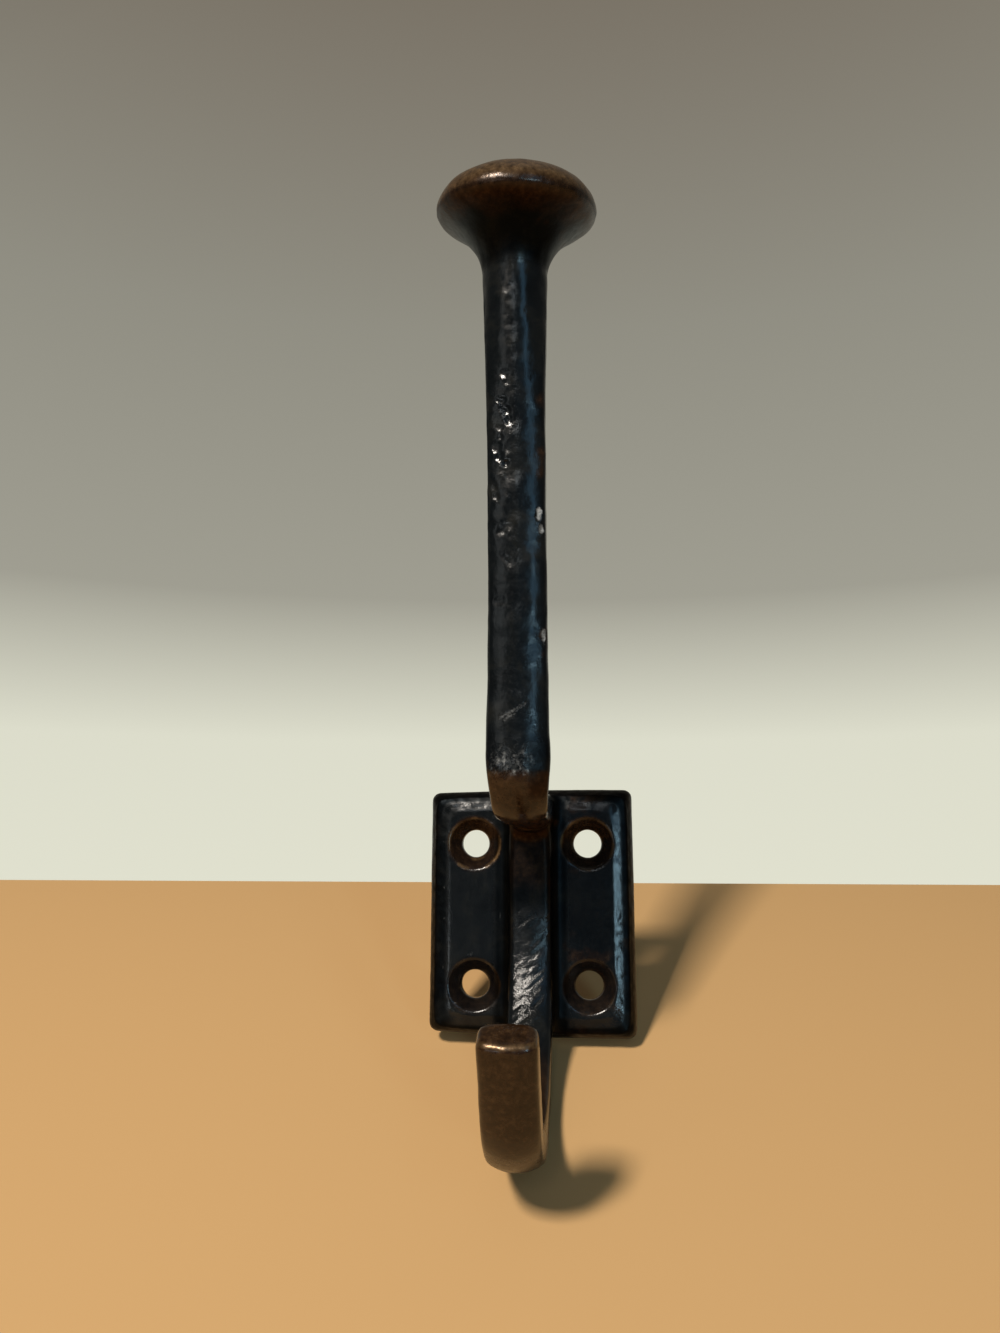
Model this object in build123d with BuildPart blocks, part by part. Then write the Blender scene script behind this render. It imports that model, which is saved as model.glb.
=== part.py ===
"""Cast hat-and-coat hook for a wall.

One casting: a back plate with four countersunk screw holes, a crowned strap down its middle, a
gooseneck that carries the long upper arm with its mushroom knob, and a short curled lower hook.

Frame: the origin is the centre of the plate's back face, +Y points into the wall, +Z is up, +X is
to the right of someone facing the wall. Lengths are in millimetres and angles in degrees.
"""

import os
from math import cos, radians, sin, sqrt

from build123d import *

# Back plate
plate_width = 38.0
plate_height = 44.8
plate_thickness = 4.5
plate_corner_radius = 1.6
plate_edge_radius = 3.2

# Countersunk screw holes, a little below the plate's centre
hole_pitch_x = 21.0
hole_pitch_z = 25.4
hole_centre_z = -0.4
hole_diameter = 5.0
countersink_diameter = 9.4
countersink_angle = 82.0

# Where the bars join the plate and each other
bar_inset = 0.6
plate_root_radius = 1.8
neck_root_radius = 3.0

# Strap on the plate, which runs on into the lower hook at the same width
strap_width = 7.8
strap_stand_off = 8.0
strap_crown = 0.7
strap_corner_radius = 1.2

# Lower hook, along its inner face, which starts to curl this far above the plate's bottom edge
curl_rise = 19.4
curl_radius = 25.0
curl_angle = 114.0
curl_root_angle = 32.0
curl_root_thickness = 8.6
curl_bottom_angle = 90.0
bowl_radius = 13.0
bowl_thickness = 6.2
bowl_crown = 1.2
tip_lean = 32.0
tip_length = 13.0
tip_thickness = 5.4
tip_end_radius = 1.1

# Gooseneck, along its underside, which is this far below the plate's top edge. It is wider than
# the strap by this margin on each side
neck_drop = 7.4
neck_margin = 0.4
neck_depth = 6.4
elbow_reach = 42.0
elbow_radius = 10.0
elbow_width = 9.65
elbow_depth = 7.2
elbow_crown = 1.4

# Upper arm, along its front face, which curves away from the wall as it rises
arm_foot_lean = 0.5
arm_top_lean = 12.0
arm_top_z = 100.2
arm_crown = 1.1
arm_back_crown = 0.6
arm_corner_radius = 1.1
arm_section_shares = (0.0, 0.2, 0.41, 0.6, 0.8, 1.0)
waist_share = 0.41
waist_width = 8.95
waist_depth = 6.6
arm_top_width = 10.9
arm_top_depth = 11.0
arm_top_crown = 4.4
arm_top_corner_radius = 2.4

# Mushroom knob, on the arm's axis
knob_diameter = 26.2
knob_rim_height = 10.2
knob_flare_angle = 60.0
knob_foot_pull = 6.8
knob_lip_pull = 1.9
knob_lip_radius = 0.5
knob_dome_height = 7.0
knob_foot_step = 0.15
stem_depth = 6.0
stem_taper = 1.4

# How far a curve's handles reach towards the corner of the box round a quarter of an ellipse
quarter_ellipse = 4 / 3 * (sqrt(2) - 1)


def bar_section(width, depth, front_crown, back_crown, corner_radius):
    """A crowned bar's section: its front crest is at the origin and its back is at y = depth."""
    half = width / 2
    with BuildSketch() as section:
        with BuildLine():
            front = ThreePointArc((-half, front_crown), (0, 0), (half, front_crown))
            back = ThreePointArc(
                (half, depth - back_crown), (0, depth), (-half, depth - back_crown)
            )
            Line(front @ 1, back @ 0)
            Line(back @ 1, front @ 0)
        make_face()
        fillet(section.vertices(), corner_radius)
    return section.sketch


def station(path, distance, x_dir):
    """The plane square to a path at a distance along it."""
    share = distance / path.length
    return Plane(origin=path @ share, x_dir=x_dir, z_dir=path % share)


def along_arm(share, at_elbow, at_waist, at_top):
    """A size at a share of the arm's length: it eases into the waist, and flares to the top."""
    if share < waist_share:
        return at_waist + (at_elbow - at_waist) * (1 - share / waist_share) ** 2
    return at_waist + (at_top - at_waist) * ((share - waist_share) / (1 - waist_share)) ** 4


os.makedirs("parts", exist_ok=True)

with BuildPart() as back_plate:
    with BuildSketch(Plane.XZ):
        RectangleRounded(plate_width, plate_height, plate_corner_radius)
    extrude(amount=plate_thickness)
    plate_front = back_plate.faces().sort_by(Axis.Y)[0]
    fillet(plate_front.edges(), plate_edge_radius)

with BuildPart() as coat_hook:
    # Strap
    curl_start_z = curl_rise - plate_height / 2
    neck_underside_z = plate_height / 2 - neck_drop
    strap_depth = strap_stand_off - bar_inset
    strap_back_crown = strap_crown / 2
    strap_top_z = neck_underside_z + neck_depth / 2
    with BuildSketch(Plane((0, -strap_stand_off, curl_start_z))):
        add(
            bar_section(
                strap_width, strap_depth, strap_crown, strap_back_crown, strap_corner_radius
            )
        )
    extrude(amount=strap_top_z - curl_start_z)

    # Lower hook
    with BuildLine(Plane.YZ) as hook_line:
        curl = JernArc((-strap_stand_off, curl_start_z), (0, -1), curl_radius, -curl_angle)
        bowl = JernArc(curl @ 1, curl % 1, bowl_radius, curl_angle + tip_lean - 180)
        Line(bowl @ 1, bowl @ 1 + tip_length * (bowl % 1))
    hook_path = hook_line.wires()[0]
    bowl_end = curl.length + bowl.length
    hook_stations = [
        (0, strap_depth, strap_crown, strap_back_crown),
        (curl.length * curl_root_angle / curl_angle, curl_root_thickness, strap_crown, strap_crown),
        (curl.length * curl_bottom_angle / curl_angle, bowl_thickness, bowl_crown, bowl_crown),
        (bowl_end, bowl_thickness, strap_crown, bowl_crown),
        (hook_path.length, tip_thickness, strap_crown, strap_crown),
    ]
    for distance, thickness, inner_crown, outer_crown in hook_stations:
        with BuildSketch(station(hook_path, distance, (-1, 0, 0))):
            add(
                bar_section(
                    strap_width, thickness, inner_crown, outer_crown, strap_corner_radius
                )
            )
    sweep(path=hook_path, multisection=True)
    hook_end = coat_hook.faces().sort_by(Axis.Y)[0]
    fillet(hook_end.edges(), tip_end_radius)

    # Neck
    neck_reach = elbow_reach - elbow_radius
    neck_width = strap_width + 2 * neck_margin
    with BuildSketch(Plane((0, -neck_reach, neck_underside_z), (1, 0, 0), (0, -1, 0))):
        add(
            bar_section(neck_width, neck_depth, elbow_crown, arm_back_crown, arm_corner_radius)
        )
    extrude(amount=bar_inset - neck_reach)

    # Elbow
    with BuildLine(Plane.YZ) as elbow_line:
        elbow = JernArc((-neck_reach, neck_underside_z), (-1, 0), elbow_radius, arm_foot_lean - 90)
    elbow_path = elbow_line.wires()[0]
    elbow_stations = [
        (0, neck_width, neck_depth, elbow_crown, arm_back_crown, arm_corner_radius),
        (elbow.length, elbow_width, elbow_depth, elbow_crown, arm_back_crown, arm_corner_radius),
    ]
    for distance, *shape in elbow_stations:
        with BuildSketch(station(elbow_path, distance, (1, 0, 0))):
            add(bar_section(*shape))
    sweep(path=elbow_path, multisection=True)

    # Arm
    arm_bend = sin(radians(arm_top_lean)) - sin(radians(arm_foot_lean))
    with BuildLine(Plane.YZ) as arm_line:
        arm = JernArc(
            ((elbow @ 1).Y, (elbow @ 1).Z),
            ((elbow % 1).Y, (elbow % 1).Z),
            (arm_top_z - (elbow @ 1).Z) / arm_bend,
            arm_top_lean - arm_foot_lean,
        )
    arm_path = arm_line.wires()[0]
    for share in arm_section_shares:
        with BuildSketch(station(arm_path, share * arm.length, (1, 0, 0))):
            add(
                bar_section(
                    along_arm(share, elbow_width, waist_width, arm_top_width),
                    along_arm(share, elbow_depth, waist_depth, arm_top_depth),
                    along_arm(share, elbow_crown, arm_crown, arm_top_crown),
                    along_arm(share, arm_back_crown, arm_back_crown, arm_top_crown),
                    along_arm(share, arm_corner_radius, arm_corner_radius, arm_top_corner_radius),
                )
            )
    sweep(path=arm_path, multisection=True)

    # Knob: a tapered stem inside the arm's top, a flared underside, a thin lip and a dome
    arm_top = station(arm_path, arm_path.length, (1, 0, 0))
    knob_centre = arm_top.origin + arm_top.y_dir * arm_top_depth / 2
    knob_radius = knob_diameter / 2
    stem_radius = arm_top_depth / 2 - knob_foot_step
    flare_slope = radians(knob_flare_angle)
    flare_end = Vector(
        knob_radius - knob_lip_radius * (1 - sin(flare_slope)),
        knob_rim_height - knob_lip_radius * cos(flare_slope),
    )
    rim = Vector(knob_radius, knob_rim_height)
    crest = Vector(0, knob_rim_height + knob_dome_height)
    with BuildSketch(Plane(origin=knob_centre, x_dir=(1, 0, 0), z_dir=-arm_top.y_dir)):
        with BuildLine():
            stem = Line((0, -stem_depth), (stem_radius - stem_taper, -stem_depth))
            taper = Line(stem @ 1, (stem_radius, 0))
            flare = Bezier(
                taper @ 1,
                taper @ 1 + Vector(0, knob_foot_pull),
                flare_end - knob_lip_pull * Vector(cos(flare_slope), sin(flare_slope)),
                flare_end,
            )
            JernArc(flare @ 1, flare % 1, knob_lip_radius, 90 - knob_flare_angle)
            dome = Bezier(
                rim,
                rim + Vector(0, knob_dome_height * quarter_ellipse),
                crest + Vector(knob_radius * quarter_ellipse, 0),
                crest,
            )
            Line(dome @ 1, stem @ 0)
        make_face()
    revolve(axis=Axis(knob_centre, arm_top.z_dir))

    # The bars end inside the plate. Fillets run under the neck and round the plate's joint.
    split(bisect_by=Plane.XZ.offset(bar_inset), keep=Keep.TOP)
    add(back_plate.part)
    plate_joint = coat_hook.edges(Select.NEW)
    neck_joint = coat_hook.edges().sort_by_distance((0, -strap_stand_off, neck_underside_z))[0]
    fillet(neck_joint, neck_root_radius)
    fillet(plate_joint, plate_root_radius)

    # Screw holes
    with Locations(Plane((0, -plate_thickness, hole_centre_z), (1, 0, 0), (0, -1, 0))):
        with GridLocations(hole_pitch_x, hole_pitch_z, 2, 2):
            CounterSinkHole(
                hole_diameter / 2,
                countersink_diameter / 2,
                counter_sink_angle=countersink_angle,
            )

coat_hook.part.label = "coat_hook"
export_step(coat_hook.part, "parts/coat_hook.step")
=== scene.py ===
"""Cast hat-and-coat hook: the dressed model, its floor, lights and camera.

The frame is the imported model's: +Y points into the wall, +Z is up. Lengths named with _MM are in
millimetres, and the rest are in metres. Azimuths turn from the hook's front towards +X.
"""

import math

import bpy
import numpy as np
from mathutils import Euler, Matrix, Vector


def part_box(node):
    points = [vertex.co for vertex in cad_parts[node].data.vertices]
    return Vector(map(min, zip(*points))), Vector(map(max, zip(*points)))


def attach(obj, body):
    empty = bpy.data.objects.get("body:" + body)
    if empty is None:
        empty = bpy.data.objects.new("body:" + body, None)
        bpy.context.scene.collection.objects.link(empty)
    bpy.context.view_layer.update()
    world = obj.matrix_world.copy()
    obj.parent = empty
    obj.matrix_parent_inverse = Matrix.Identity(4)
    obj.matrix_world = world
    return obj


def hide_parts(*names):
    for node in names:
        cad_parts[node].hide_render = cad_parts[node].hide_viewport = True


MM = 0.001

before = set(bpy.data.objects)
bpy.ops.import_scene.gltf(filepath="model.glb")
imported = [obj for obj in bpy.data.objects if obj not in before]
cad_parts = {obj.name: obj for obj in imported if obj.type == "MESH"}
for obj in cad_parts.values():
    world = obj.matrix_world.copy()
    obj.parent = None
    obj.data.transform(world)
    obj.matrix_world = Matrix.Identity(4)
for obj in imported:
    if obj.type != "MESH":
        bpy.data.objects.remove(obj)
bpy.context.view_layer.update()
low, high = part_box("coat_hook")
middle = (low + high) / 2

# The casting's own places
PLATE_FRONT_MM = -4.5
PLATE_HALF_WIDTH_MM = 19.0
PLATE_HALF_HEIGHT_MM = 22.4
HOLE_X_MM = 10.5
HOLE_Z_MM = 12.7
HOLE_CENTRE_Z_MM = -0.4
HOLE_RADIUS_MM = 2.5
COUNTERSINK_RADIUS_MM = 4.7
ARM_FRONT_MM = -38.0
KNOB_RIM_MM = (0.0, -47.0, 111.3)
KNOB_AXIS = (0.0, -0.208, 0.978)


# ---------------------------------------------------------------- helpers for uneven surfaces

def smoothstep(start, end, value):
    """0 at start and 1 at end, with a smooth rise between them."""
    share = np.clip((value - start) / (end - start), 0, 1)
    return share * share * (3 - 2 * share)


def band(value, start, full_from, full_to, end):
    """1 from full_from to full_to, with a smooth fall to 0 at start and at end."""
    return smoothstep(start, full_from, value) * smoothstep(end, full_to, value)


def lattice_noise(points, size, seed):
    """Smooth noise between -1 and 1 that changes over about the given size."""
    table = np.random.RandomState(seed).uniform(-1, 1, (32, 32, 32))
    scaled = points / size
    cell = np.floor(scaled).astype(int)
    part = scaled - cell
    part = part * part * (3 - 2 * part)
    total = 0
    for corner in np.ndindex(2, 2, 2):
        weight = 1
        for axis in range(3):
            weight = weight * (part[:, axis] if corner[axis] else 1 - part[:, axis])
        index = (cell + corner) % 32
        total = total + weight * table[index[:, 0], index[:, 1], index[:, 2]]
    return total


def layered_noise(points, size, seed, layers=3):
    """Noise with finer and weaker layers on top of each other."""
    total = 0
    for layer in range(layers):
        total = total + lattice_noise(points, size / 2.1**layer, seed + layer) * 0.55**layer
    return total


def dents(points, deepest, size, seed):
    """Smooth dents between 0 and the deepest."""
    return deepest / 2 * (1 + lattice_noise(points, size, seed))


def read_vectors(items, name):
    values = np.empty(len(items) * 3)
    items.foreach_get(name, values)
    return values.reshape(-1, 3)


# ---------------------------------------------------------------- shader nodes

# Where a mix node for colours keeps its factor and two colours, and its result
MIX_INPUTS = (0, 6, 7)
MIX_OUTPUT = 2


def new_material(name):
    """A material with a Principled shader; returns the material, its node tree and the shader."""
    material = bpy.data.materials.new(name)
    material.use_nodes = True
    tree = material.node_tree
    tree.nodes.clear()
    output = tree.nodes.new("ShaderNodeOutputMaterial")
    shader = tree.nodes.new("ShaderNodeBsdfPrincipled")
    tree.links.new(shader.outputs["BSDF"], output.inputs["Surface"])
    return material, tree, shader


def noise_node(tree, vector, scale, detail, roughness, distortion=0.0):
    node = tree.nodes.new("ShaderNodeTexNoise")
    node.inputs["Scale"].default_value = scale
    node.inputs["Detail"].default_value = detail
    node.inputs["Roughness"].default_value = roughness
    node.inputs["Distortion"].default_value = distortion
    tree.links.new(vector, node.inputs["Vector"])
    return node.outputs["Fac"]


def ramp_node(tree, value, stops):
    """A colour that follows stops of position and colour, in the order of their positions."""
    node = tree.nodes.new("ShaderNodeValToRGB")
    ramp = node.color_ramp
    ramp.elements[0].position, ramp.elements[0].color = stops[0]
    ramp.elements[1].position, ramp.elements[1].color = stops[-1]
    for position, colour in stops[1:-1]:
        ramp.elements.new(position).color = colour
    tree.links.new(value, node.inputs["Fac"])
    return node.outputs["Color"]


def range_node(tree, value, from_min, from_max, to_min=0.0, to_max=1.0):
    node = tree.nodes.new("ShaderNodeMapRange")
    tree.links.new(value, node.inputs["Value"])
    node.inputs["From Min"].default_value = from_min
    node.inputs["From Max"].default_value = from_max
    node.inputs["To Min"].default_value = to_min
    node.inputs["To Max"].default_value = to_max
    return node.outputs["Result"]


def math_node(tree, operation, *values, clamp=False):
    """One step of arithmetic on numbers and sockets."""
    node = tree.nodes.new("ShaderNodeMath")
    node.operation = operation
    node.use_clamp = clamp
    for socket, value in zip(node.inputs, values):
        if isinstance(value, (int, float)):
            socket.default_value = value
        else:
            tree.links.new(value, socket)
    return node.outputs["Value"]


def mix_node(tree, factor, first, second):
    node = tree.nodes.new("ShaderNodeMix")
    node.data_type = "RGBA"
    for place, value in zip(MIX_INPUTS, (factor, first, second)):
        tree.links.new(value, node.inputs[place])
    return node.outputs[MIX_OUTPUT]


def attribute_node(tree, name):
    node = tree.nodes.new("ShaderNodeAttribute")
    node.attribute_name = name
    return node.outputs["Fac"]


def broken_up(tree, share, pattern, strength):
    """A painted share from 0 to 1 with edges broken up by a pattern; where it is 0 it stays 0."""
    shift = math_node(tree, "MULTIPLY_ADD", pattern, strength, -strength / 2)
    moved = math_node(tree, "ADD", share, shift)
    present = range_node(tree, share, 0.0, 0.2)
    return math_node(tree, "MULTIPLY", moved, present, clamp=True)


# ---------------------------------------------------------------- materials

# The coats from the outside in, each from its darkest places to its palest
BLACK_COAT = [
    (0.30, (0.0010, 0.0016, 0.0022, 1)),
    (0.50, (0.0022, 0.0032, 0.0040, 1)),
    (0.72, (0.0080, 0.0082, 0.0074, 1)),
]
# The brown coat, which also paints reflections of the brown floor and wood
BROWN_COAT_AND_REFLECTION = [
    (0.30, (0.0085, 0.0036, 0.0014, 1)),
    (0.52, (0.0200, 0.0088, 0.0032, 1)),
    (0.75, (0.0420, 0.0205, 0.0080, 1)),
]
BRONZE = [(0.30, (0.060, 0.032, 0.012, 1)), (0.70, (0.20, 0.120, 0.054, 1))]
# Bare metal, which also paints a highlight on the arm's foot
BARE_METAL_AND_HIGHLIGHT = [(0.32, (0.10, 0.10, 0.095, 1)), (0.68, (0.66, 0.67, 0.66, 1))]

BUMP_STRENGTH = 0.3
BUMP_HEIGHT = 0.08 * MM


def lacquer():
    """Glossy black lacquer over a bronze-brown coat, which shows where the black is thin and also
    paints reflections of the brown floor; pale bare metal also paints a highlight on the arm's
    foot, and near-black metal paints shade.
    """
    material, tree, shader = new_material("black_lacquer_on_bronze")
    coords = tree.nodes.new("ShaderNodeTexCoord").outputs["Object"]
    cloud = noise_node(tree, coords, 190.0, 5.0, 0.62, 0.5)
    fine = noise_node(tree, coords, 1100.0, 5.0, 0.62)
    grain = noise_node(tree, coords, 2800.0, 3.0, 0.6)
    wear_and_reflection_share = broken_up(tree, attribute_node(tree, "wear_and_reflection"), cloud, 0.7)
    rubbed = broken_up(tree, attribute_node(tree, "rubbed"), grain, 0.6)
    bare_and_highlight = broken_up(tree, attribute_node(tree, "bare_and_highlight"), grain, 0.8)
    # Painted shade: the places that near-black metal darkens
    painted_shade = attribute_node(tree, "painted_shade")
    creased = attribute_node(tree, "creased")

    # Each coat shows through the one over it
    colour = ramp_node(tree, cloud, BLACK_COAT)
    # Brown where the coat is worn, and as a painted reflection of the brown floor under the neck,
    # on the plate's edges and ends and on the upper strap
    colour = mix_node(tree, wear_and_reflection_share, colour, ramp_node(tree, fine, BROWN_COAT_AND_REFLECTION))
    colour = mix_node(tree, rubbed, colour, ramp_node(tree, fine, BRONZE))
    # Bare metal at chips and scrapes, and a pale painted highlight on the arm's foot
    colour = mix_node(tree, bare_and_highlight, colour, ramp_node(tree, fine, BARE_METAL_AND_HIGHLIGHT))
    tree.links.new(colour, shader.inputs["Base Color"])

    # Painted shade: a near-black metal has no white gloss of its own, so it darkens the places
    # where shade and dark reflections fall
    metal = math_node(tree, "MULTIPLY", rubbed, 0.8)
    metal = math_node(tree, "MULTIPLY_ADD", painted_shade, 0.92, metal)
    tree.links.new(math_node(tree, "MINIMUM", metal, 1.0), shader.inputs["Metallic"])

    rough = range_node(tree, fine, 0.3, 0.7, 0.12, 0.25)
    rough = math_node(tree, "MULTIPLY_ADD", bare_and_highlight, 0.3, rough)
    rough = math_node(tree, "MULTIPLY_ADD", painted_shade, 0.25, rough)
    rough = math_node(tree, "MULTIPLY_ADD", rubbed, 0.12, rough)
    tree.links.new(rough, shader.inputs["Roughness"])
    shader.inputs["Specular IOR Level"].default_value = 0.3

    # The grain stands out more where the skin is creased
    grain_strength = math_node(tree, "MULTIPLY_ADD", creased, 2.0, 1.0)
    height = math_node(tree, "ADD", fine, math_node(tree, "MULTIPLY", grain_strength, grain))
    bump = tree.nodes.new("ShaderNodeBump")
    bump.inputs["Strength"].default_value = BUMP_STRENGTH
    bump.inputs["Distance"].default_value = BUMP_HEIGHT
    tree.links.new(height, bump.inputs["Height"])
    tree.links.new(bump.outputs["Normal"], shader.inputs["Normal"])
    return material


def plain(name, colour, roughness):
    """An even material with hardly any gloss."""
    material, _, shader = new_material(name)
    shader.inputs["Base Color"].default_value = (*colour, 1)
    shader.inputs["Roughness"].default_value = roughness
    shader.inputs["Specular IOR Level"].default_value = 0.05
    return material


# ---------------------------------------------------------------- places on the casting, in mm

# The plate's border has round corners, which are rounder the smaller this is, per millimetre
CORNER_SHARPNESS = 0.9


def at_arm_front(y, fade=1):
    return smoothstep(ARM_FRONT_MM, ARM_FRONT_MM - fade, y)


def above_elbow(z):
    return smoothstep(27.0, 29.0, z)


def on_plate(y):
    """The plate and its edge, but not the strap that stands on it."""
    return smoothstep(-6.0, -5.0, y)


def on_knob(z):
    return smoothstep(101.0, 103.0, z)


def from_knob_axis(x, y, z):
    """The distance from the knob's own axis."""
    away = np.stack([x, y, z], axis=1) - KNOB_RIM_MM
    along = away @ KNOB_AXIS
    return np.sqrt(np.maximum((away**2).sum(axis=1) - along**2, 0))


def from_hole(x, z):
    """The distance from the middle of the nearest screw hole."""
    return np.hypot(np.abs(x) - HOLE_X_MM, np.abs(z - HOLE_CENTRE_Z_MM) - HOLE_Z_MM)


def inside_border(x, z):
    """The distance inside the plate's border, with its corners rounded off."""
    sides = np.exp(-CORNER_SHARPNESS * (PLATE_HALF_WIDTH_MM - np.abs(x)))
    ends = np.exp(-CORNER_SHARPNESS * (PLATE_HALF_HEIGHT_MM - np.abs(z)))
    return -np.log(sides + ends) / CORNER_SHARPNESS


def creased_share(points, normals):
    """The lower strap and the hook's root, where the casting's skin is creased."""
    x, y, z = points.T
    share = smoothstep(4.2, 3.4, np.abs(x)) * band(y, -40.0, -30.0, -7.5, -6.5)
    share *= band(z, -24.0, -19.0, -2.0, 4.0)
    return share * smoothstep(-0.2, -0.6, normals[:, 1])


# ---------------------------------------------------------------- the casting's skin

SKIN_VOXEL = 0.29 * MM
SKIN_SMOOTHINGS = 8
JOIN_SMOOTHINGS = 60
KEPT_TRIANGLES = 185000


def apply_modifiers(piece):
    graph = bpy.context.evaluated_depsgraph_get()
    mesh = bpy.data.meshes.new_from_object(piece.evaluated_get(graph))
    piece.modifiers.clear()
    piece.data = mesh


def skin_of(source, name):
    """A copy of an object as an even, close skin whose arrises are softened as in a casting."""
    skin = bpy.data.objects.new(name, source.data.copy())
    bpy.context.scene.collection.objects.link(skin)
    skin.matrix_world = source.matrix_world
    remesh = skin.modifiers.new("skin", "REMESH")
    remesh.mode = "VOXEL"
    remesh.voxel_size = SKIN_VOXEL
    soften = skin.modifiers.new("soften", "SMOOTH")
    soften.factor = 0.5
    soften.iterations = SKIN_SMOOTHINGS
    apply_modifiers(skin)
    skin.data.transform(skin.matrix_world)
    skin.matrix_world = Matrix.Identity(4)
    skin.data.materials.clear()
    return skin


def soften_joins(piece):
    """The knob runs smoothly into the arm, the tip is well rounded, and the neck's root is soft."""
    x, y, z = read_vectors(piece.data.vertices, "co").T / MM
    knob_foot = band(z, 96.0, 100.0, 103.0, 107.0)
    knob_rim = smoothstep(105.0, 108.0, z) * smoothstep(10.8, 12.4, from_knob_axis(x, y, z)) * 0.9
    tip = smoothstep(-53.0, -56.0, y) * smoothstep(-21.0, -18.0, z) * 0.5
    neck_root = band(y, -13.0, -10.0, -6.5, -5.5) * smoothstep(8.0, 11.0, z) * 0.7
    weights = np.max([knob_foot, knob_rim, tip, neck_root], axis=0)
    group = piece.vertex_groups.new(name="joins")
    for index in np.flatnonzero(weights > 0.01):
        group.add([int(index)], float(weights[index]), "REPLACE")
    soften = piece.modifiers.new("soften_joins", "SMOOTH")
    soften.factor = 0.5
    soften.iterations = JOIN_SMOOTHINGS
    soften.vertex_group = group.name
    apply_modifiers(piece)
    piece.vertex_groups.clear()


def thin_out(piece, wanted):
    """Merge triangles where the surface is plain, until the wanted number is left."""
    triangles = sum(len(polygon.vertices) - 2 for polygon in piece.data.polygons)
    decimate = piece.modifiers.new("thin_out", "DECIMATE")
    decimate.ratio = min(1.0, wanted / triangles)
    apply_modifiers(piece)


# ---------------------------------------------------------------- how far the casting is from true

KNOB_ROLL = math.radians(2.2)
KNOB_ASIDE_MM = 0.31
HOOK_ASIDE_MM = 0.25
BROADER_SHARE = 0.05
BOTTOM_CORNER_SHORT_MM = 0.9
TOP_CORNER_SHORT_MM = 0.5


def tilt_knob(points):
    """The knob sits a little askew on its arm: rolled to one side and off its middle."""
    share = smoothstep(98.0, 106.0, points[:, 2])
    centre = np.array(KNOB_RIM_MM)
    turn = np.array([
        [math.cos(KNOB_ROLL), 0, math.sin(KNOB_ROLL)],
        [0, 1, 0],
        [-math.sin(KNOB_ROLL), 0, math.cos(KNOB_ROLL)],
    ])
    turned = (points - centre) @ turn.T + centre + (KNOB_ASIDE_MM, 0, 0)
    return points + share[:, None] * (turned - points)


def real_outline(points):
    """The hook and arm are broader, the hook leans left, and the plate's left corners are short."""
    x, y, z = points.T
    hook = smoothstep(-12.0, -30.0, y) * smoothstep(-2.0, -10.0, z)
    arm = smoothstep(-36.0, -40.0, y) * band(z, 18.0, 26.0, 90.0, 100.0)
    x = x + hook * (BROADER_SHARE * x - HOOK_ASIDE_MM) + arm * BROADER_SHARE * x
    left = np.clip(-x / PLATE_HALF_WIDTH_MM, 0, 1) * smoothstep(-8.0, -5.5, y)
    bottom_short = BOTTOM_CORNER_SHORT_MM * smoothstep(-14.0, -22.0, z)
    top_short = TOP_CORNER_SHORT_MM * smoothstep(15.0, 22.0, z)
    z = z + left * (bottom_short - top_short)
    return np.stack([x, y, z], axis=1)


# ---------------------------------------------------------------- the casting's faults

# The skin sinks by this many times its unevenness, so that hardly any of it rises
MEAN_SINK = 1.2
UNEVENNESS_MM = 0.04
FINE_UNEVENNESS_MM = 0.012

# The plate's face starts to fall away this far inside its border, sooner than the CAD's round edge
BORDER_START_MM = 4.4
BORDER_WIDTH_MM = 3.4
BORDER_FALL = 0.06
EDGE_RADIUS_MM = 3.2
EDGE_WIDTH_MM = 3.0

# The ridges run slantwise up the strap, whose upper half is hollow along its middle
WRINKLE_SLANT = math.radians(38.0)
WRINKLE_LENGTH_MM = 1.9
WRINKLE_WIDTH_MM = 0.52
WRINKLE_DEPTH_MM = 0.14
HOLLOW_DEPTH_MM = 0.33
HOLLOW_HALF_WIDTH_MM = 2.7

CHIP_DEPTH_MM = 0.2
SCRAPE_DEPTH_MM = 0.06
SCRAPE_HALF_WIDTH_MM = 0.3

# Pits that the mould left on the arm's front: x, z, radius, depth
ARM_PITS_MM = [
    (-1.5, 84.4, 0.8, 0.112), (-1.2, 82.9, 0.7, 0.112), (-1.9, 80.2, 0.9, 0.208),
    (-1.5, 78.7, 1.0, 0.240), (-1.1, 77.2, 0.8, 0.208), (-2.2, 76.0, 0.7, 0.144),
    (-2.3, 74.6, 0.7, 0.144), (-3.0, 73.1, 1.3, 0.192), (-2.4, 71.6, 0.9, 0.224),
    (-1.5, 70.4, 0.75, 0.224), (-3.4, 66.8, 0.7, 0.128), (-3.1, 65.4, 0.7, 0.144),
    (-2.0, 60.2, 1.5, 0.128), (-1.0, 55.0, 1.0, 0.096), (-2.6, 49.0, 1.0, 0.096),
]

# Places on the arm's right arris where the lacquer has chipped off: x, z, half width, half height,
# and how bare the metal is
ARM_CHIPS_MM = [
    (3.5, 62.5, 0.42, 1.0, 1.0),
    (3.9, 60.3, 0.38, 0.8, 0.5),
    (4.1, 43.4, 0.36, 1.3, 0.4),
]

# Short scrapes across the arm above the elbow: x and z of both ends
ARM_SCRAPES_MM = [(-2.6, 31.0, 0.2, 32.6), (-1.6, 31.4, 1.2, 33.2), (-2.0, 30.7, -0.6, 31.5)]


def pit_depth(x, z, ragged):
    """How deep the arm's ragged pits go below the surface at each point."""
    depth = 0
    for pit_x, pit_z, radius, deepest in ARM_PITS_MM:
        away = np.hypot(x - pit_x, z - pit_z) / radius * (1 + 0.4 * ragged)
        depth = np.maximum(depth, deepest * smoothstep(1.0, 0.25, away))
    return depth


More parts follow.
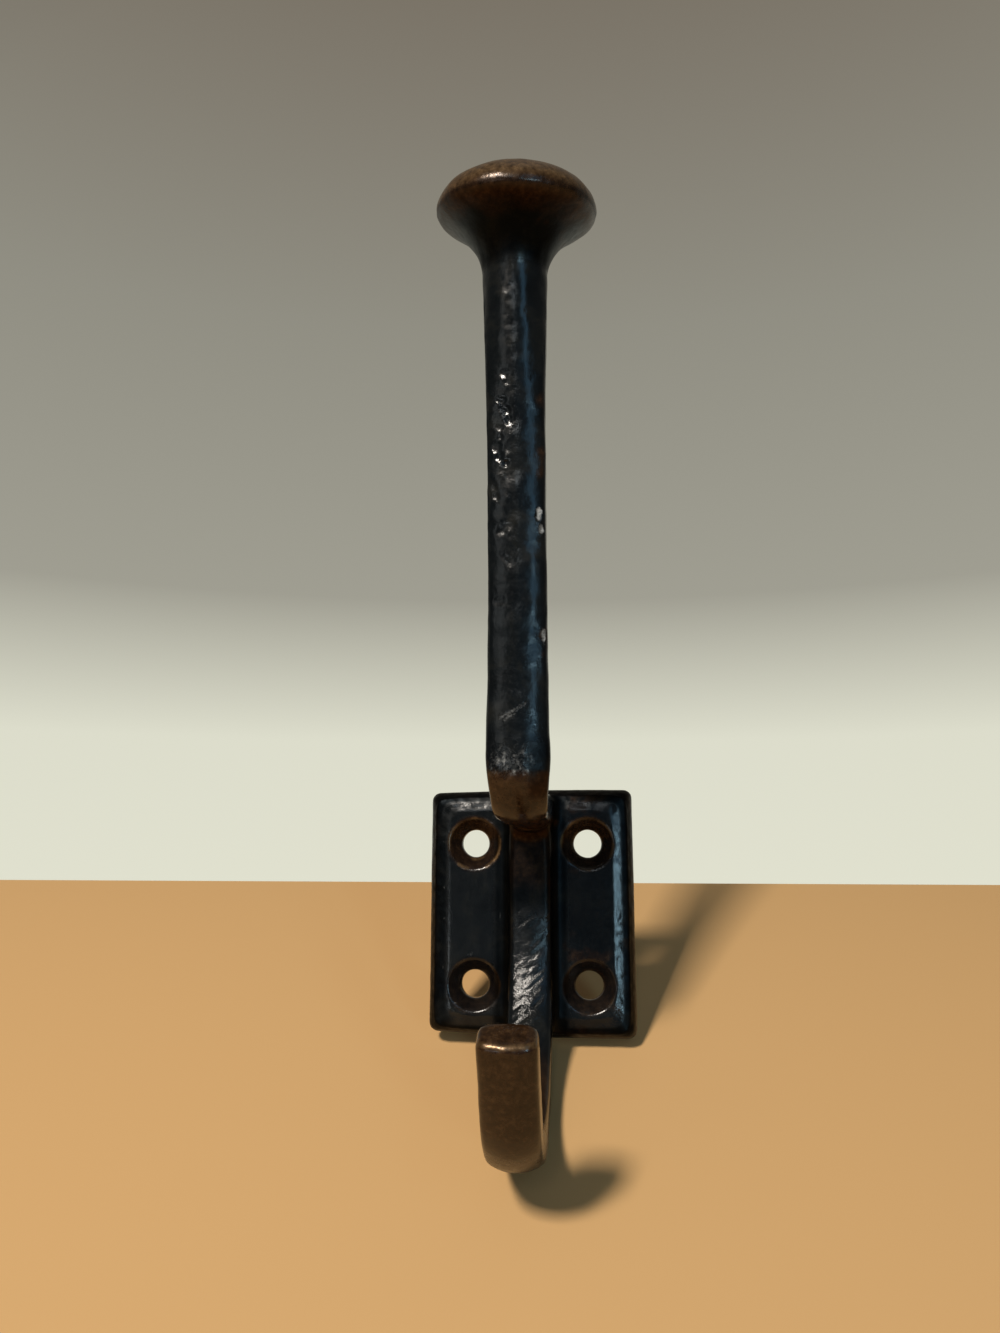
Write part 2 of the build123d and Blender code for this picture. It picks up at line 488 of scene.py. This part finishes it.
def chip_share(points):
    """How far the arm's ragged chips reach at each point, from 0 to 1."""
    x, _, z = points.T
    ragged = 1 + 0.45 * lattice_noise(points, 0.6, 42)
    share = 0
    for chip_x, chip_z, half_width, half_height, bare in ARM_CHIPS_MM:
        away = np.hypot((x - chip_x) / half_width, (z - chip_z) / half_height) * ragged
        share = np.maximum(share, bare * smoothstep(1.1, 0.5, away))
    return share


def scrape_share(x, z):
    """How far the arm's scrapes reach at each point, from 0 to 1."""
    share = 0
    for x0, z0, x1, z1 in ARM_SCRAPES_MM:
        dx, dz = x1 - x0, z1 - z0
        along = np.clip(((x - x0) * dx + (z - z0) * dz) / (dx**2 + dz**2), 0, 1)
        away = np.hypot(x - x0 - along * dx, z - z0 - along * dz)
        share = np.maximum(share, smoothstep(1.0, 0.2, away / SCRAPE_HALF_WIDTH_MM))
    return share


def border_slope(x, z):
    """How far the plate's border lies below the CAD's round edge; it is negative further out."""
    inside = inside_border(x, z)
    fall = BORDER_FALL * np.clip(BORDER_START_MM - inside, 0, BORDER_WIDTH_MM) ** 2
    beyond = np.clip(EDGE_RADIUS_MM - inside, 0, EDGE_WIDTH_MM)
    round_fall = EDGE_RADIUS_MM - np.sqrt(EDGE_RADIUS_MM**2 - beyond**2)
    return (fall - round_fall) * smoothstep(0.8, 1.4, inside)


def wrinkles(x, z):
    """Short ridges that run slantwise up the strap, between -1 and 1."""
    along = x * math.cos(WRINKLE_SLANT) + z * math.sin(WRINKLE_SLANT)
    across = z * math.cos(WRINKLE_SLANT) - x * math.sin(WRINKLE_SLANT)
    places = [along / WRINKLE_LENGTH_MM, across / WRINKLE_WIDTH_MM, np.zeros_like(x)]
    return lattice_noise(np.stack(places, axis=1), 1.0, 31)


def skin_layers(points):
    """The whole skin is uneven, and the arm's front more so."""
    _, y, z = points.T
    uneven = UNEVENNESS_MM + UNEVENNESS_MM * at_arm_front(y, 2) * above_elbow(z)
    return [
        uneven * (MEAN_SINK - layered_noise(points, 6.0, 11)),
        FINE_UNEVENNESS_MM - FINE_UNEVENNESS_MM * layered_noise(points, 1.5, 21, 2),
    ]


def plate_layers(points):
    """The plate's border slopes, and is a little lumpy."""
    x, y, z = points.T
    face = band(y - PLATE_FRONT_MM, -1.6, -0.4, 1.6, 3.4)
    lumps = dents(points, 0.06, 1.4, 25) + dents(points, 0.09, 0.8, 26)
    lumps *= smoothstep(3.9, 3.3, inside_border(x, z))
    return [face * (border_slope(x, z) + lumps)]


def strap_layers(points, normals):
    """The lower strap is wrinkled, where the sand gave way, and the upper strap is hollow."""
    x, y, z = points.T
    hollow = smoothstep(-0.5, -0.8, normals[:, 1]) * band(y, -12.0, -10.0, -7.2, -6.5)
    hollow *= band(z, -4.0, 2.0, 17.0, 19.0)
    return [
        creased_share(points, normals) * WRINKLE_DEPTH_MM / 2 * (1 + wrinkles(x, z)),
        hollow * HOLLOW_DEPTH_MM * np.maximum(1 - (x / HOLLOW_HALF_WIDTH_MM) ** 2, 0),
    ]


def arm_layers(points, normals):
    """Pits, scrapes and dents in the arm's front, chips on its arris, and a rough foot."""
    x, y, z = points.T
    ny = normals[:, 1]
    ragged = lattice_noise(points, 0.7, 41)
    front = smoothstep(-0.2, -0.5, ny) * at_arm_front(y, 2) * above_elbow(z)
    left = front * smoothstep(0.5, -1.5, x) * band(z, 48.0, 58.0, 80.0, 90.0)
    right = at_arm_front(y) * smoothstep(2.0, 2.6, x)
    foot = band(z, 20.5, 22.5, 24.5, 28.0) * smoothstep(-0.3, -0.6, ny) * at_arm_front(y)
    return [
        front * pit_depth(x, z, ragged),
        left * 0.07 * (1 + layered_noise(points, 1.3, 51, 2)),
        front * SCRAPE_DEPTH_MM * scrape_share(x, z),
        front * dents(points, 0.13, 2.4, 55),
        front * dents(points, 0.032, 0.9, 56),
        right * CHIP_DEPTH_MM * (1 + 0.3 * ragged) * chip_share(points),
        foot * dents(points, 0.10, 0.8, 61),
    ]


def cast_surface(points, normals):
    """How far each point sinks below the CAD surface, in millimetres; where negative, it rises."""
    plain_layers = skin_layers(points) + plate_layers(points)
    return sum(plain_layers + strap_layers(points, normals) + arm_layers(points, normals))


# ---------------------------------------------------------------- the casting's wear, with painted reflection, highlight and shade

def wear_and_reflection_of(points, normals):
    """How far the brown coat shows through the black lacquer at each point, from 0 to 1: real wear,
    and painted reflection of the brown floor and wood on the neck's underside, the plate's edges
    and ends and the upper strap.
    """
    x, y, z = points.T
    nz = normals[:, 2]
    knob = smoothstep(8.0, 12.5, from_knob_axis(x, y, z) + 1.2 * lattice_noise(points, 3.0, 73))
    knob = np.maximum(knob, smoothstep(111.0, 112.5, z)) * on_knob(z)
    hook = smoothstep(-13.0, -24.0, y) * smoothstep(-3.0, -9.0, z)
    # Painted reflection: the neck's underside faces down and is painted brown for the floor it
    # reflects
    neck_floor_reflection = smoothstep(-0.05, -0.25, nz) * band(z, 8.0, 12.0, 22.4, 23.4)
    plate = smoothstep(-5.2, -4.6, y)
    # The plate's edges and ends are partly worn and partly a painted reflection of the brown wood
    # above and below
    edges = plate * smoothstep(16.2, 18.6, np.abs(x) + 0.8 * lattice_noise(points, 3.0, 71)) * 0.18
    ends = plate * smoothstep(19.6, 22.0, np.abs(z) + 0.8 * lattice_noise(points, 3.0, 72)) * 0.22
    from_rim = from_hole(x, z) - COUNTERSINK_RADIUS_MM
    cone = plate * smoothstep(0.9, -0.2, from_rim) * (0.25 + 0.25 * smoothstep(0.0, 8.0, z))
    # Painted reflection of the brown neck above, on the upper strap
    strap = smoothstep(4.6, 3.6, np.abs(x)) * smoothstep(-5.0, -7.0, y) * 0.3
    strap *= band(z, 2.0, 8.0, 16.0, 20.0)
    streaks = smoothstep(0.45, 0.95, layered_noise(points, 4.0, 81)) * smoothstep(2.0, 4.0, x) * 0.5
    return np.max([knob, hook, neck_floor_reflection, edges, ends, cone, strap, streaks], axis=0)


def rubbed_of(points, normals):
    """Where handling has rubbed the coats down to bronze: knob, tip and countersinks."""
    x, y, z = points.T
    nz = normals[:, 2]
    dome = smoothstep(107.0, 110.0, z) * smoothstep(-0.45, 0.45, nz) * 0.40
    tip = smoothstep(-55.0, -57.5, y) * smoothstep(-19.0, -16.5, z)
    tip *= smoothstep(0.05, 0.3, nz) * (0.06 + 0.5 * smoothstep(0.75, 0.5, nz))
    rim = smoothstep(0.45, 0.1, np.abs(from_hole(x, z) - COUNTERSINK_RADIUS_MM))
    bore = smoothstep(0.5, 0.15, np.abs(from_hole(x, z) - HOLE_RADIUS_MM - 0.3))
    patch = smoothstep(-0.1, 0.7, lattice_noise(points, 2.6, 91))
    most_worn = 0.15 + 0.20 * smoothstep(0.0, 8.0, z) * (1 + smoothstep(4.0, -4.0, x))
    rims = on_plate(y) * np.maximum(rim, bore) * patch * most_worn
    return np.max([dome, tip, rims], axis=0)


def bare_and_highlight_of(points, normals):
    """Where the coats have come off altogether: chips, scrapes and specks, and a pale painted
    highlight on the arm's foot.
    """
    x, y, z = points.T
    facing = smoothstep(-0.3, -0.6, normals[:, 1])
    arm = at_arm_front(y)
    chips = arm * above_elbow(z) * smoothstep(2.0, 2.6, x) * chip_share(points)
    scrapes = arm * above_elbow(z) * facing * scrape_share(x, z) * 0.15
    # Painted highlight: a pale patch with specks on the arm's foot, partly scratched bare metal
    foot = arm * facing * band(z, 22.0, 22.8, 23.0, 28.5) * smoothstep(4.4, 1.5, np.abs(x + 0.8))
    foot *= 0.06 + 0.20 * smoothstep(0.0, 0.7, lattice_noise(points, 0.5, 95))
    specks = smoothstep(0.8, 0.95, lattice_noise(points, 0.7, 96)) * 0.2
    specks *= band(y, -6.0, -5.0, -4.3, -3.9) * smoothstep(-4.0, -6.0, x)
    return np.max([chips, scrapes, foot, specks], axis=0)


def painted_shade_of(points, normals):
    """Painted shade: near-black metal darkens the upper strap, its roots, under the knob, the
    plate's edges, the foot's right side and the hook's bottom, where shade and dark reflections
    fall; the lacquer there also has little shine.
    """
    x, y, z = points.T
    beside = smoothstep(7.4, 6.2, np.abs(x)) * smoothstep(-9.5, -9.0, y)
    strap = beside * np.maximum(smoothstep(-3.0, 3.0, z), smoothstep(3.0, 3.8, np.abs(x)))
    knob = on_knob(z) * smoothstep(13.6, 11.5, from_knob_axis(x, y, z))
    knob *= smoothstep(0.1, -0.2, normals[:, 2])
    inside = inside_border(x, z)
    left = smoothstep(3.9, 3.0, inside) * smoothstep(-13.0, -16.0, x) * smoothstep(18.5, 16.5, z)
    edge = on_plate(y) * np.maximum(smoothstep(2.7, 2.0, inside), left)
    foot = at_arm_front(y) * smoothstep(0.8, 2.2, x) * band(z, 18.0, 20.0, 26.0, 29.0) * 0.8
    hook = smoothstep(-25.0, -32.0, z) * smoothstep(-25.0, -35.0, y) * 0.6
    not_back = smoothstep(-0.5, -1.5, y)
    return np.max([strap, knob, edge, foot, hook], axis=0) * not_back


# ---------------------------------------------------------------- the piece

# What the lacquer reads from the mesh, and how it is worked out from the points and normals
PAINTED = {
    "wear_and_reflection": wear_and_reflection_of,
    "rubbed": rubbed_of,
    "bare_and_highlight": bare_and_highlight_of,
    "creased": creased_share,
    "painted_shade": painted_shade_of,
}


def add_values(mesh, name, values):
    attribute = mesh.attributes.new(name, "FLOAT", "POINT")
    attribute.data.foreach_set("value", values.astype(np.float32))


def dressed_casting():
    """The whole hook: a close skin on the CAD solid, with the casting's faults and wear, and
    painted reflection, highlight and shade.
    """
    piece = skin_of(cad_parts["coat_hook"], "hook_casting")
    soften_joins(piece)
    points = read_vectors(piece.data.vertices, "co") / MM
    normals = read_vectors(piece.data.vertex_normals, "vector")
    points = points - normals * cast_surface(points, normals)[:, None]
    points = tilt_knob(real_outline(points))
    points[:, 1] = np.minimum(points[:, 1], 0)
    piece.data.vertices.foreach_set("co", (points * MM).ravel())
    piece.data.update()
    thin_out(piece, KEPT_TRIANGLES)

    mesh = piece.data
    points = read_vectors(mesh.vertices, "co") / MM
    normals = read_vectors(mesh.vertex_normals, "vector")
    for name, share_of in PAINTED.items():
        add_values(mesh, name, np.clip(share_of(points, normals), 0, 1))
    mesh.polygons.foreach_set("use_smooth", np.ones(len(mesh.polygons), dtype=bool))
    mesh.materials.append(lacquer())
    return piece


casting = dressed_casting()
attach(casting, "root")
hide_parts("coat_hook")


# ---------------------------------------------------------------- floor

# The floor crosses the plane of the plate's back this far above the part's lowest point
FLOOR_GAP = 0.0102
FLOOR_LEAN = math.radians(23.0)
FLOOR_WIDTH = 2.4
FLOOR_BEHIND = 0.0682
FLOOR_FRONT = 0.34
FLOOR_COLOUR = (0.50, 0.305, 0.135)


def lay_floor():
    """A plain floor that passes just under the hook's curl, and leans in the part's frame."""
    depth = FLOOR_BEHIND + FLOOR_FRONT
    bpy.ops.mesh.primitive_plane_add(size=1)
    floor = bpy.context.object
    floor.name = "floor"
    floor.scale = (FLOOR_WIDTH, depth, 1)
    floor.rotation_euler = (FLOOR_LEAN, 0, 0)
    lean = Matrix.Rotation(FLOOR_LEAN, 3, "X")
    along = lean @ Vector((0, FLOOR_BEHIND - depth / 2, 0))
    floor.location = Vector((0, 0, low.z + FLOOR_GAP)) + along
    floor.data.materials.append(plain("pale_floor", FLOOR_COLOUR, 0.6))


# ---------------------------------------------------------------- lights and world

LAMP_DISTANCE = 0.9

# Soft boxes: name, azimuth, elevation, width, height, power, colour
LAMPS = [
    ("window_strip", 26.0, 17.0, 0.12, 0.60, 0.60, (0.28, 0.64, 1.0)),
    ("window_foot", 26.0, -7.0, 0.10, 0.16, 1.40, (0.50, 0.82, 1.0)),
    ("window_head", -3.5, 20.0, 0.045, 0.12, 0.28, (0.88, 0.96, 1.0)),
    ("key_lamp", -22.0, 34.0, 0.10, 0.14, 11.3, (1.0, 0.92, 0.82)),
    ("left_card", -35.0, 9.0, 0.20, 0.20, 0.14, (0.95, 1.0, 1.0)),
    ("low_card", -25.0, -12.0, 0.16, 0.14, 0.36, (0.92, 0.98, 1.0)),
    ("doorway", -7.0, -8.0, 0.016, 0.20, 0.014, (1.0, 1.0, 0.96)),
    ("top_box", 10.0, 82.0, 0.6, 0.4, 0.10, (1.0, 0.96, 0.90)),
]

# The world's colours: behind the hook from low to high, and in front of it from left to right
BEHIND_COLOURS = [
    (0.0, (0.76, 0.76, 0.63, 1)),
    (0.24, (0.72, 0.72, 0.60, 1)),
    (0.41, (0.35, 0.34, 0.285, 1)),
    (0.70, (0.28, 0.27, 0.225, 1)),
    (1.0, (0.18, 0.155, 0.12, 1)),
]
BEFORE_COLOURS = [
    (0.0, (0.10, 0.095, 0.085, 1)),
    (0.34, (0.075, 0.075, 0.07, 1)),
    (0.55, (0.085, 0.12, 0.155, 1)),
    (0.90, (0.10, 0.10, 0.095, 1)),
]


def direction(azimuth, elevation):
    a, e = math.radians(azimuth), math.radians(elevation)
    return Vector((math.sin(a) * math.cos(e), -math.cos(a) * math.cos(e), math.sin(e)))


def area_light(name, azimuth, elevation, width, height, power, colour):
    """A soft box aimed at the hook's middle."""
    way = direction(azimuth, elevation)
    data = bpy.data.lights.new(name, "AREA")
    data.shape = "RECTANGLE"
    data.size = width
    data.size_y = height
    data.energy = power
    data.color = colour
    lamp = bpy.data.objects.new(name, data)
    lamp.location = middle + way * LAMP_DISTANCE
    lamp.rotation_mode = "QUATERNION"
    lamp.rotation_quaternion = way.to_track_quat("Z", "Y")
    bpy.context.scene.collection.objects.link(lamp)


def soft_room():
    """A world that is pale behind the hook, brightest low down, and dim in front of it."""
    world = bpy.data.worlds.new("soft_room")
    bpy.context.scene.world = world
    world.use_nodes = True
    tree = world.node_tree
    background = tree.nodes["Background"]
    way = tree.nodes.new("ShaderNodeSeparateXYZ")
    generated = tree.nodes.new("ShaderNodeTexCoord").outputs["Generated"]
    tree.links.new(generated, way.inputs["Vector"])
    behind = ramp_node(tree, range_node(tree, way.outputs["Z"], -0.1, 0.75), BEHIND_COLOURS)
    before = ramp_node(tree, range_node(tree, way.outputs["X"], -0.5, 0.5), BEFORE_COLOURS)
    side = range_node(tree, way.outputs["Y"], 0.05, 0.64)
    tree.links.new(mix_node(tree, side, before, behind), background.inputs["Color"])
    background.inputs["Strength"].default_value = 1.0


# ---------------------------------------------------------------- camera

# The lens is chosen, and the place and turn are fitted to it
CAMERA_LENS = 25.93
CAMERA_PLACE = (0.009585, -0.185297, 0.012293)
CAMERA_TURN_DEGREES = (100.4535, -0.0984, 4.8354)


def place_camera():
    data = bpy.data.cameras.new("camera")
    data.sensor_width = 36.0
    data.lens = CAMERA_LENS
    data.clip_start = 0.01
    camera = bpy.data.objects.new("camera", data)
    camera.location = CAMERA_PLACE
    camera.rotation_euler = Euler([math.radians(angle) for angle in CAMERA_TURN_DEGREES])
    bpy.context.scene.collection.objects.link(camera)
    bpy.context.scene.camera = camera


lay_floor()
for lamp in LAMPS:
    area_light(*lamp)
soft_room()
place_camera()
bpy.context.scene.view_settings.view_transform = "Standard"
